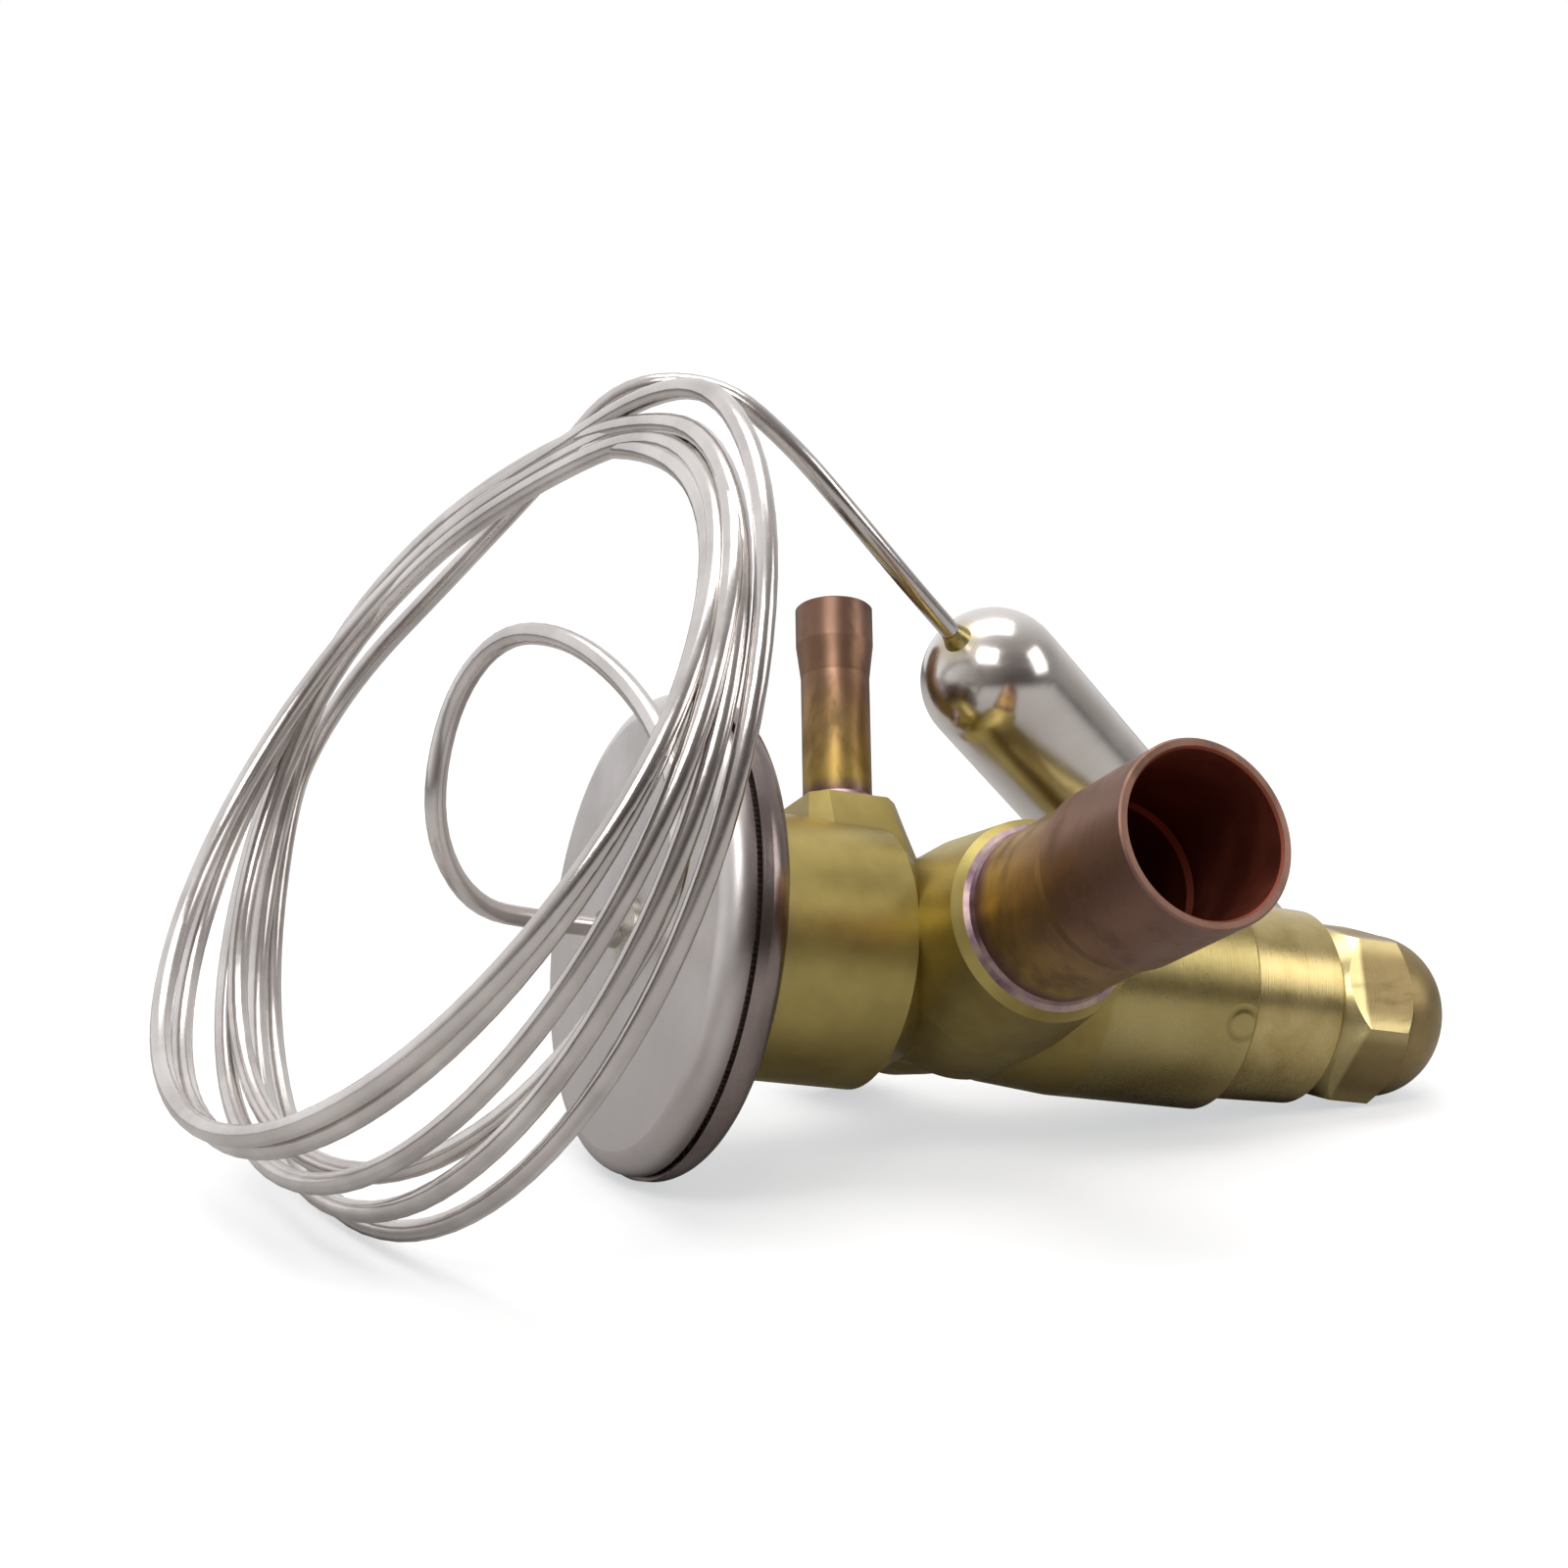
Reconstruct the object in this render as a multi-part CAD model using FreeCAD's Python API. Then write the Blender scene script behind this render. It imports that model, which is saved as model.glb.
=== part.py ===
import FreeCAD, Part
import math
import os

os.makedirs("parts", exist_ok=True)

# Expansion valve of brass with a steel diaphragm head, a coiled capillary and a sensing bulb.
# Each piece is drawn upright on the valve's own axis: X from the head to the seal cap,
# Y towards the inlet, Z towards the equaliser. The whole valve is then laid on a table.
# All sizes are in millimetres.

# Diaphragm head
RIM_R = 24.0
COVER_R = RIM_R - 0.4
FACE_FLAT_R = COVER_R - 2.2
FACE_X = -35.6
WELD_X = -32.55
RIM_X = -31.2
COVER_BACK_X = -27.5
SHEET = 0.9
DIAPHRAGM_T = 0.2
DIAPHRAGM_R = RIM_R - 1.6
WELD_R = RIM_R - 1.1
COVER_HOLE_R = 1.6
COVER_INSIDE_R = RIM_R - 3.5
COVER_BACK_R = RIM_R - 6.2

# Body
HEAD_X = -29.6
HEAD_R = 12.4
HUB_R = 13.3
HUB_END_X = -10.8
NECK_R = 10.0
NECK_X = -6.4
BARREL_R = 11.9
BARREL_START_X = 12.0
BARREL_END_X = 29.5
ROD_BORE_R = 4.0
GUIDE_START_X = -10.4
GUIDE_END_X = -4.6

# Connections
OUTLET_MOUTH_Y = -47.9
OUTLET_BOSS_Y = -19.6
OUTLET_BOSS_R = 10.2
OUTLET_BOSS_FOOT_R = 11.6
OUTLET_R = 9.0
OUTLET_SOCKET_R = 8.0
OUTLET_SOCKET_DEPTH = 15.0
OUTLET_ROOT_R = 8.6
OUTLET_ROOT_Y = -12.6
OUTLET_WALL = 1.0
INLET_MOUTH_Y = 30.0
INLET_BOSS_Y = 15.5
INLET_BOSS_R = 7.8
INLET_BOSS_FOOT_R = 9.4
INLET_R = 5.85
INLET_SOCKET_R = 4.8
INLET_SOCKET_DEPTH = 9.0
INLET_ROOT_R = 5.4
INLET_ROOT_Y = 10.6
INLET_WALL = 0.9
STRAINER_FLANGE = 0.4
STRAINER_LENGTH = 7.6
EQUALISER_X = -12.8
EQUALISER_TOP_Z = 37.3
EQUALISER_BOSS_Z = 15.6
EQUALISER_R = 4.0
EQUALISER_SOCKET_R = 3.2
EQUALISER_SOCKET_DEPTH = 6.0
EQUALISER_ROOT_R = 3.55
EQUALISER_ROOT_Z = 11.0
EQUALISER_WALL = 0.8
BRAZE = 0.8

# Adjusting end
HOUSING_START_X = 22.0
HOUSING_END_X = 41.0
HOUSING_R = 10.3
THREAD_R = 8.5
CHAMBER_R = 6.6
NOSE_R = 7.2
NOSE_END_X = 49.0
PACKING_X = 40.0
PACKING_LENGTH = 4.4
GLAND_R = 3.9
GLAND_LENGTH = 4.4
CAP_AF = 17.5
CAP_START_X = 41.4
CAP_FLAT_END_X = 50.4
CAP_END_X = 57.6

# Needle, spring and spindle
SEAT_START_X = 1.6
SEAT_X = 5.6
SEAT_R = 5.0
SEAT_BORE_R = 1.6
SEAT_BEVEL = 0.3
CONE_TIP_R = 0.9
CONE_R = 2.6
CONE_BACK_X = SEAT_X + 2.6
CUP_R = 5.6
CUP_SPIGOT = 2.0
ROD_R = 1.5
ROD_TIP_R = 0.8
PAD_R = 14.0
PAD_X = WELD_X + 0.05
PAD_T = 1.4
PAD_BOSS_R = 3.2
PAD_BOSS = 0.95
PAD_BACK_X = PAD_X + PAD_T + PAD_BOSS
SPRING_START_X = 12.0
SPRING_END_X = 21.0
SPRING_R = 4.7
SPRING_WIRE_R = 0.5
SPRING_TURNS = 4
SPINDLE_THREAD_R = 2.5
SPINDLE_R = 2.0
SPINDLE_START_X = 17.5
THRUST_X = 32.0
THRUST_T = 1.4
THRUST_R = 4.2
SQUARE_X = 48.5
SQUARE_END_X = 53.6
SQUARE_AF = 2.7
SEAT_NUT_R = 6.4
SEAT_NUT_FLANGE = 3.0
SEAT_NUT_HUB = 1.5
LUG_WIDTH = 2.0
LUG_TOP = 7.4
LUG_SIDE_GAP = 0.1
RUNNING = 0.05
LIFT_GAP = 0.02
CONE_X = SEAT_X + LIFT_GAP - (SEAT_BORE_R + SEAT_BEVEL - CONE_TIP_R)

# Capillary and bulb
CAPILLARY_D = 2.0
COLLAR_NOSE_X = -38.8
BULB_R = 7.5
BULB_LENGTH = 73.0
BULB_WALL = 0.8
BULB_DESCENT_DEG = 38.5
BULB_AZIMUTH_DEG = 24.3
BULB_DOME_X = 6.5
BULB_DOME_Y = 4.6
COIL_NEAR_CENTRE = (-50.5, -5.9, 43.3)
COIL_NEAR_R = 44.6
COIL_NEAR_AZIMUTH_DEG = 7.4
COIL_NEAR_LEAN_DEG = -20.0
COIL_FAR_CENTRE = (-59.5, -14.0, 43.9)
COIL_FAR_R = 37.3
COIL_FAR_AZIMUTH_DEG = 7.0
COIL_FAR_LEAN_DEG = -37.0
COIL_TIE_DEG = 333.0
COIL_TIE_HALF_DEG = 84.0
COIL_TIE_SPREAD = 0.1
COIL_INSIDE = 2.6
COIL_OUTSIDE = 1.05
COIL_SIDE = 0.9

X = FreeCAD.Vector(1, 0, 0)
Y = FreeCAD.Vector(0, 1, 0)
Z = FreeCAD.Vector(0, 0, 1)
ORIGIN = FreeCAD.Vector(0, 0, 0)


def vec(x, y, z):
    return FreeCAD.Vector(x, y, z)


def turned(profile):
    """Solid turned about the X axis. A point is (x, r); an arc is (x through, r through, x end, r end)."""
    edges = []
    here = vec(profile[0][0], profile[0][1], 0)
    for step in profile[1:] + profile[:1]:
        there = vec(step[-2], step[-1], 0)
        if len(step) == 4:
            edges.append(Part.Arc(here, vec(step[0], step[1], 0), there).toShape())
        else:
            edges.append(Part.LineSegment(here, there).toShape())
        here = there
    face = Part.Face(Part.Wire(edges))
    solid = face.revolve(ORIGIN, X, 360)
    if solid.Volume < 0:
        solid.reverse()
    return solid


def ring(x0, x1, r_in, r_out):
    """Plain ring or sleeve about the X axis."""
    return turned([(x0, r_in), (x1, r_in), (x1, r_out), (x0, r_out)])


def disc(x0, x1, r):
    return Part.makeCylinder(r, x1 - x0, vec(x0, 0, 0), X)


def along_y(shape):
    """Turn a piece drawn along X so that its X runs towards the inlet, +Y."""
    shape.rotate(ORIGIN, Z, 90)
    return shape


def along_outlet(shape):
    """Turn a piece drawn along X so that its X runs out of the outlet, -Y."""
    shape.rotate(ORIGIN, Z, -90)
    return shape


def along_z(shape):
    """Turn a piece drawn along X so that its X runs up the equaliser, and move it there."""
    shape.rotate(ORIGIN, Y, -90)
    shape.translate(vec(EQUALISER_X, 0, 0))
    return shape


def octagon(half_x, half_y, corner, z):
    points = []
    for sx, sy, first in ((1, 1, 0), (-1, 1, 1), (-1, -1, 0), (1, -1, 1)):
        flat = vec(sx * half_x, sy * (half_y - corner), z)
        edge = vec(sx * (half_x - corner), sy * half_y, z)
        points += [edge, flat] if first else [flat, edge]
    points.append(points[0])
    return Part.makePolygon(points)


# The valve lies on the head's rim, the rounded end of the cap and the mouth of the inlet stub.
cap_round = CAP_END_X - CAP_FLAT_END_X
crown_r = CAP_AF / 2 - cap_round
drop = RIM_R - crown_r
span = CAP_FLAT_END_X - RIM_X
tilt = math.acos(cap_round / math.hypot(drop, span)) - math.atan2(span, drop)
axis_height = RIM_R * math.cos(tilt) + RIM_X * math.sin(tilt)
reach = math.hypot(INLET_MOUTH_Y, INLET_R)
slope = math.asin(axis_height / reach) - math.atan2(INLET_R, INLET_MOUTH_Y)
roll = math.asin(math.sin(slope) / math.cos(tilt))


def lie(shape):
    shape.rotate(ORIGIN, X, -math.degrees(roll))
    shape.rotate(ORIGIN, Y, math.degrees(tilt))
    shape.translate(vec(0, 0, axis_height))
    return shape


def lain(point):
    """Where a point of the upright valve lies on the table."""
    return lie(Part.Vertex(point)).Point


nodes = {}


# Upper cover of the head: a shallow pressed steel pan with a flat face.
def upper_cover():
    inside_x = FACE_X + SHEET
    bend = math.sqrt(0.5)
    radius_x = WELD_X - 0.45 - FACE_X
    radius_r = COVER_R - FACE_FLAT_R
    return turned([
        (FACE_X, COVER_HOLE_R),
        (FACE_X, FACE_FLAT_R),
        (FACE_X + radius_x * (1 - bend), FACE_FLAT_R + radius_r * bend, FACE_X + radius_x, COVER_R),
        (WELD_X - DIAPHRAGM_T, COVER_R),
        (WELD_X - DIAPHRAGM_T, COVER_INSIDE_R - 0.1),
        (inside_x + 0.6, COVER_INSIDE_R - 0.1),
        (inside_x, COVER_INSIDE_R - 0.9),
        (inside_x, COVER_HOLE_R),
    ])


# Lower cover: the steel pan that holds the diaphragm's edge and sits on the body's head.
def lower_cover():
    return turned([
        (WELD_X, COVER_INSIDE_R + 0.1),
        (WELD_X, DIAPHRAGM_R),
        (WELD_X + 0.2, DIAPHRAGM_R),
        (WELD_X + 0.2, RIM_R),
        (RIM_X, RIM_R),
        (RIM_X + 1.7, RIM_R - 0.8, RIM_X + 2.6, RIM_R - 2.4),
        (COVER_BACK_X, COVER_BACK_R),
        (COVER_BACK_X, HEAD_R),
        (COVER_BACK_X - SHEET, HEAD_R),
        (COVER_BACK_X - SHEET, COVER_BACK_R - 0.3),
        (RIM_X + 1.9, COVER_INSIDE_R + 0.1),
    ])


# Diaphragm: thin corrugated steel disc, clamped by the two covers.
def diaphragm():
    first = COVER_INSIDE_R - 8.5
    waves = [(first + 1.5 * step, 0.5 * (step % 2)) for step in range(5)]
    top = [(WELD_X - DIAPHRAGM_T - wave, r) for r, wave in waves]
    under = [(WELD_X - wave, r) for r, wave in reversed(waves)]
    edge = [(WELD_X - DIAPHRAGM_T, DIAPHRAGM_R), (WELD_X, DIAPHRAGM_R)]
    return turned([(WELD_X - DIAPHRAGM_T, 0)] + top + edge + under + [(WELD_X, 0)])


nodes["upper_cover"] = upper_cover()
nodes["lower_cover"] = lower_cover()
nodes["diaphragm"] = diaphragm()
nodes["rim_weld"] = ring(WELD_X - DIAPHRAGM_T, WELD_X + 0.2, DIAPHRAGM_R, WELD_R)

# Collar brazed into the middle of the face, which holds the end of the capillary.
nodes["capillary_collar"] = turned([
    (FACE_X + SHEET, 0.5),
    (FACE_X + SHEET, COVER_HOLE_R),
    (FACE_X, COVER_HOLE_R),
    (FACE_X, 3.4),
    (FACE_X - 0.9, 3.4),
    (FACE_X - 1.5, 1.9),
    (COLLAR_NOSE_X, 1.7),
    (COLLAR_NOSE_X, 0.5),
])


# Forged brass body with the hub under the head, the neck, the barrel and three bosses.
def valve_body():
    outside = turned([
        (HEAD_X, 0),
        (HEAD_X, HEAD_R - 0.4),
        (HEAD_X + 0.4, HEAD_R),
        (COVER_BACK_X, HEAD_R),
        (COVER_BACK_X, HUB_R - 0.5),
        (COVER_BACK_X + 0.5, HUB_R),
        (HUB_END_X, HUB_R),
        (NECK_X - 1.2, NECK_R + 0.7, NECK_X, NECK_R),
        (0, NECK_R + 0.3),
        (BARREL_START_X - 8.0, BARREL_R - 0.7),
        (BARREL_START_X, BARREL_R),
        (BARREL_END_X - 0.5, BARREL_R),
        (BARREL_END_X, BARREL_R - 0.5),
        (BARREL_END_X, 0),
    ])
    outlet_boss = along_outlet(turned([
        (0, 0),
        (0, OUTLET_BOSS_FOOT_R),
        (9.0, OUTLET_BOSS_FOOT_R - 0.2),
        (-OUTLET_BOSS_Y - 1.0, OUTLET_BOSS_R),
        (-OUTLET_BOSS_Y, OUTLET_BOSS_R - 0.8),
        (-OUTLET_BOSS_Y, 0),
    ]))
    inlet_boss = along_y(turned([
        (0, 0),
        (0, INLET_BOSS_FOOT_R),
        (9.0, INLET_BOSS_FOOT_R - 0.4),
        (INLET_BOSS_Y - 0.8, INLET_BOSS_R),
        (INLET_BOSS_Y, INLET_BOSS_R - 0.6),
        (INLET_BOSS_Y, 0),
    ]))
    equaliser_boss = Part.makeLoft([
        octagon(7.0, 9.4, 2.6, 5.0),
        octagon(5.5, 6.5, 1.9, 11.8),
        octagon(4.8, 4.8, 1.5, EQUALISER_BOSS_Z),
    ], True, True)
    equaliser_boss.translate(vec(EQUALISER_X, 0, 0))
    body = outside.fuse([outlet_boss, inlet_boss, equaliser_boss])
    slant = Part.makeCylinder(2.2, 11.0, vec(1.6, 11.0, 0), vec(8, -5.4, 0))
    cuts = [
        disc(HEAD_X - 1, GUIDE_END_X, ROD_BORE_R),
        disc(GUIDE_END_X, SEAT_START_X, 4.5),
        disc(SEAT_START_X, SEAT_X, SEAT_R),
        disc(SEAT_X, HOUSING_START_X, CHAMBER_R),
        disc(HOUSING_START_X, BARREL_END_X + 1, THREAD_R),
        along_outlet(disc(-OUTLET_ROOT_Y, -OUTLET_BOSS_Y + 1, OUTLET_ROOT_R)),
        along_outlet(disc(9.2, -OUTLET_ROOT_Y, OUTLET_ROOT_R - 1.2)),
        Part.makeCylinder(3.0, 10.0, vec(-1.5, 0, 0), vec(0, -1, 0)),
        along_y(disc(INLET_ROOT_Y, INLET_BOSS_Y + 1, INLET_ROOT_R)),
        along_y(disc(9.2, INLET_ROOT_Y, INLET_ROOT_R - 1.0)),
        slant,
        along_z(disc(EQUALISER_ROOT_Z, EQUALISER_BOSS_Z + 1, EQUALISER_ROOT_R)),
        along_z(disc(0, EQUALISER_ROOT_Z, 2.2)),
    ]
    return body.cut(cuts)


nodes["valve_body"] = valve_body()


# Copper stub swaged out at its mouth to a soldering socket.
def stub(root, boss, mouth, socket_depth, root_r, wall, mouth_r, socket_r, taper=0.8):
    step = mouth - socket_depth
    return turned([
        (root, root_r - wall),
        (step - 0.6, root_r - wall),
        (step, socket_r),
        (mouth - 0.3, socket_r),
        (mouth, socket_r + 0.2),
        (mouth, mouth_r - 0.2),
        (mouth - 0.2, mouth_r),
        (step + taper, mouth_r),
        (step - taper, root_r),
        (root, root_r),
    ])


# Fillet of silver solder round a stub where it leaves its boss.
def braze_ring(face, r):
    return turned([
        (face, r),
        (face, r + BRAZE),
        (face + 0.32 * BRAZE, r + 0.32 * BRAZE),
        (face + BRAZE, r),
    ])


nodes["outlet_stub"] = along_outlet(stub(
    -OUTLET_ROOT_Y, -OUTLET_BOSS_Y, -OUTLET_MOUTH_Y, OUTLET_SOCKET_DEPTH,
    OUTLET_ROOT_R, OUTLET_WALL, OUTLET_R, OUTLET_SOCKET_R))
nodes["inlet_stub"] = along_y(stub(
    INLET_ROOT_Y, INLET_BOSS_Y, INLET_MOUTH_Y, INLET_SOCKET_DEPTH,
    INLET_ROOT_R, INLET_WALL, INLET_R, INLET_SOCKET_R))
nodes["equaliser_stub"] = along_z(stub(
    EQUALISER_ROOT_Z, EQUALISER_BOSS_Z, EQUALISER_TOP_Z, EQUALISER_SOCKET_DEPTH,
    EQUALISER_ROOT_R, EQUALISER_WALL, EQUALISER_R, EQUALISER_SOCKET_R, taper=1.8))
nodes["outlet_braze"] = along_outlet(braze_ring(-OUTLET_BOSS_Y, OUTLET_ROOT_R))
nodes["inlet_braze"] = along_y(braze_ring(INLET_BOSS_Y, INLET_ROOT_R))
nodes["equaliser_braze"] = along_z(braze_ring(EQUALISER_BOSS_Z, EQUALISER_ROOT_R))

# Strainer: a fine mesh thimble in the inlet, with a flange against the end of its bore.
strainer_r = INLET_ROOT_R - INLET_WALL
strainer_end = INLET_ROOT_Y + STRAINER_LENGTH
nodes["inlet_strainer"] = along_y(turned([
    (INLET_ROOT_Y, strainer_r - 1.0),
    (INLET_ROOT_Y, strainer_r),
    (INLET_ROOT_Y + STRAINER_FLANGE, strainer_r),
    (INLET_ROOT_Y + STRAINER_FLANGE, strainer_r - 0.8),
    (strainer_end - 0.2, strainer_r - 1.9),
    (strainer_end, 0),
    (strainer_end - 0.3, 0),
    (strainer_end - 0.5, strainer_r - 2.15),
]))

# Orifice: hardened ring pressed into the body between the inlet and the outlet chambers.
nodes["orifice_seat"] = turned([
    (SEAT_START_X, SEAT_BORE_R + 0.5),
    (SEAT_START_X + 1.0, SEAT_BORE_R),
    (SEAT_X - SEAT_BEVEL, SEAT_BORE_R),
    (SEAT_X, SEAT_BORE_R + SEAT_BEVEL),
    (SEAT_X, SEAT_R),
    (SEAT_START_X, SEAT_R),
])

# Guide of the push rod, with a groove for the seal that parts the two pressures.
groove_start = GUIDE_START_X + 1.8
groove_end = groove_start + 1.8
groove_r = ROD_BORE_R - 1.1
nodes["rod_guide"] = turned([
    (GUIDE_START_X, ROD_R + RUNNING),
    (groove_start, ROD_R + RUNNING),
    (groove_start, groove_r),
    (groove_end, groove_r),
    (groove_end, ROD_R + RUNNING),
    (GUIDE_END_X, ROD_R + RUNNING),
    (GUIDE_END_X, ROD_BORE_R),
    (GUIDE_START_X, ROD_BORE_R),
])
nodes["rod_seal"] = ring(groove_start + 0.1, groove_end - 0.1, ROD_R + RUNNING, groove_r)

# Pressure pad: the plate that the diaphragm pushes on.
nodes["pressure_pad"] = turned([
    (PAD_X, 0),
    (PAD_X, PAD_R - 0.5),
    (PAD_X + 0.3, PAD_R),
    (PAD_X + PAD_T - 0.3, PAD_R),
    (PAD_X + PAD_T, PAD_R - 0.4),
    (PAD_X + PAD_T, PAD_BOSS_R),
    (PAD_BACK_X, PAD_BOSS_R - 0.4),
    (PAD_BACK_X, 0),
])

# Push rod, thinned where it passes through the orifice.
nodes["push_rod"] = turned([
    (PAD_BACK_X, 0),
    (PAD_BACK_X, ROD_R),
    (-1.6, ROD_R),
    (-0.6, ROD_TIP_R),
    (CONE_X, ROD_TIP_R),
    (CONE_X, 0),
])

# Valve cone, which closes the orifice from the spring's side.
nodes["valve_cone"] = turned([
    (CONE_X, 0),
    (CONE_X, CONE_TIP_R),
    (CONE_X + CONE_R - CONE_TIP_R, CONE_R),
    (CONE_BACK_X, CONE_R),
    (CONE_BACK_X, 0),
])

# Cup between the cone and the spring.
nodes["spring_cup"] = turned([
    (CONE_BACK_X, 0),
    (CONE_BACK_X, CUP_R),
    (SPRING_START_X, CUP_R),
    (SPRING_START_X, CUP_R - 2.0),
    (SPRING_START_X + CUP_SPIGOT, CUP_R - 2.0),
    (SPRING_START_X + CUP_SPIGOT, 0),
])


# Superheat spring: helix of round wire, drawn with eight sides, between the cup and the seat.
def spring():
    length = SPRING_END_X - SPRING_START_X - 2 * SPRING_WIRE_R
    helix = Part.makeHelix(length / SPRING_TURNS, length, SPRING_R)
    wire_r = SPRING_WIRE_R * math.sqrt(math.pi / math.sqrt(8))
    corners = []
    for corner in range(9):
        turn = math.radians(45 * corner)
        corners.append(vec(SPRING_R + wire_r * math.cos(turn), 0, wire_r * math.sin(turn)))
    profile = Part.makePolygon(corners)
    wire = Part.Wire(helix).makePipeShell([profile], True, True)
    wire.rotate(ORIGIN, Y, 90)
    wire.translate(vec(SPRING_START_X + SPRING_WIRE_R, 0, 0))
    return wire


nodes["superheat_spring"] = spring()

# Spring seat: nut on the spindle's thread, kept from turning by a lug in the housing's slot.
lug_start = SEAT_NUT_R - 0.4
seat_nut_back = SPRING_END_X + SEAT_NUT_FLANGE
lug_corner = vec(SPRING_END_X, -LUG_WIDTH / 2, lug_start)
seat_lug = Part.makeBox(SEAT_NUT_FLANGE, LUG_WIDTH, LUG_TOP - lug_start, lug_corner)
nodes["spring_seat"] = turned([
    (SPRING_END_X, SPINDLE_THREAD_R + RUNNING),
    (SPRING_END_X, SEAT_NUT_R),
    (seat_nut_back, SEAT_NUT_R),
    (seat_nut_back, SEAT_NUT_R - 2.0),
    (seat_nut_back + SEAT_NUT_HUB, SEAT_NUT_R - 2.0),
    (seat_nut_back + SEAT_NUT_HUB, SPINDLE_THREAD_R + RUNNING),
]).fuse(seat_lug)


# Adjusting spindle: threaded end, thrust collar, plain shank and square for the key.
def spindle():
    turned_part = turned([
        (SPINDLE_START_X, 0),
        (SPINDLE_START_X, SPINDLE_THREAD_R - 0.4),
        (SPINDLE_START_X + 0.4, SPINDLE_THREAD_R),
        (THRUST_X, SPINDLE_THREAD_R),
        (THRUST_X, THRUST_R),
        (THRUST_X + THRUST_T, THRUST_R),
        (THRUST_X + THRUST_T, SPINDLE_R),
        (SQUARE_X, SPINDLE_R),
        (SQUARE_X, 0),
    ])
    square_start = SQUARE_X - 0.1
    corner = vec(square_start, -SQUARE_AF / 2, -SQUARE_AF / 2)
    square = Part.makeBox(SQUARE_END_X - square_start, SQUARE_AF, SQUARE_AF, corner)
    return turned_part.fuse(square)


nodes["adjusting_spindle"] = spindle()


def lug_slot(x0, x1):
    """Slot in which the spring seat's lug slides."""
    width = LUG_WIDTH + 2 * LUG_SIDE_GAP
    return Part.makeBox(x1 - x0, width, 3.0, vec(x0, -width / 2, LUG_TOP - 2.8))


# Housing screwed into the barrel and locked by a punch mark; its nose carries the seal cap.
def spindle_housing():
    thrust_face = THRUST_X + THRUST_T + RUNNING
    outside = turned([
        (HOUSING_START_X, CHAMBER_R),
        (HOUSING_START_X, THREAD_R - 0.5),
        (HOUSING_START_X + 0.5, THREAD_R),
        (BARREL_END_X, THREAD_R),
        (BARREL_END_X, HOUSING_R + 0.3),
        (HOUSING_END_X - 0.6, HOUSING_R),
        (HOUSING_END_X, HOUSING_R - 0.6),
        (HOUSING_END_X, NOSE_R),
        (NOSE_END_X - 0.5, NOSE_R),
        (NOSE_END_X, NOSE_R - 0.5),
        (NOSE_END_X, GLAND_R),
        (PACKING_X, GLAND_R),
        (PACKING_X, SPINDLE_R + RUNNING),
        (thrust_face, SPINDLE_R + RUNNING),
        (thrust_face, CHAMBER_R),
    ])
    return outside.cut(lug_slot(HOUSING_START_X - 0.1, thrust_face + 0.05))


nodes["spindle_housing"] = spindle_housing()
nodes["valve_body"] = nodes["valve_body"].cut(lug_slot(HOUSING_START_X - 5.0, HOUSING_START_X + 1.0))

# Packing ring and the gland screw that squeezes it round the spindle.
gland_start = PACKING_X + PACKING_LENGTH
gland_end = gland_start + GLAND_LENGTH
nodes["spindle_packing"] = ring(PACKING_X, gland_start, SPINDLE_R + RUNNING, GLAND_R)
gland_slot = Part.makeBox(1.2, 9.0, 1.0, vec(gland_end - 0.8, -4.5, -0.5))
nodes["gland_screw"] = ring(gland_start, gland_end, SPINDLE_R + RUNNING, GLAND_R).cut(gland_slot)


# Seal cap: hexagon brass cap with a domed end, chamfered at the back, hollow for the spindle.
def seal_cap():
    across_corners = CAP_AF / math.cos(math.radians(30))
    corner_r = across_corners / 2
    points = []
    for corner in range(7):
        turn = roll + math.radians(60 * corner)
        points.append(vec(CAP_START_X, corner_r * math.cos(turn), corner_r * math.sin(turn)))
    hexagon = Part.Face(Part.makePolygon(points)).extrude(vec(CAP_END_X - CAP_START_X, 0, 0))
    bend = cap_round * math.sqrt(0.5)
    blank = turned([
        (CAP_START_X, 0),
        (CAP_START_X, 8.0),
        (CAP_START_X + 3.0, corner_r + 0.05),
        (CAP_FLAT_END_X - 1.4, corner_r + 0.05),
        (CAP_FLAT_END_X, CAP_AF / 2),
        (CAP_FLAT_END_X + bend, crown_r + bend, CAP_END_X, crown_r),
        (CAP_END_X, 0),
    ])
    hollow = turned([
        (CAP_START_X - 1, 0),
        (CAP_START_X - 1, NOSE_R + 0.06),
        (NOSE_END_X + 1.0, NOSE_R + 0.06),
        (NOSE_END_X + 2.4, 4.6),
        (SQUARE_END_X + 1.0, 4.6),
        (SQUARE_END_X + 1.8, 0),
    ])
    return hexagon.common(blank).cut(hollow)


nodes["seal_cap"] = seal_cap()
nodes["cap_gasket"] = ring(HOUSING_END_X, CAP_START_X, NOSE_R + 0.06, NOSE_R + 1.0)


for name in nodes:
    lie(nodes[name])

# The table frame is centred under the valve.
valve = Part.makeCompound(list(nodes.values()))
box = valve.optimalBoundingBox(False, False)
centre = vec(round(box.Center.x, 2), round(box.Center.y, 2), 0)
print("valve box", box, "centre", centre)


# Sensing bulb: drawn steel tube with a domed end for the capillary and a pressed end plug.
def along_bulb(shape):
    descent = math.radians(BULB_DESCENT_DEG)
    dome_height = BULB_R * math.cos(descent) + (BULB_LENGTH - BULB_R) * math.sin(descent)
    shape.rotate(ORIGIN, Y, BULB_DESCENT_DEG)
    shape.rotate(ORIGIN, Z, BULB_AZIMUTH_DEG)
    shape.translate(vec(BULB_DOME_X, BULB_DOME_Y, dome_height))
    return shape


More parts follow.
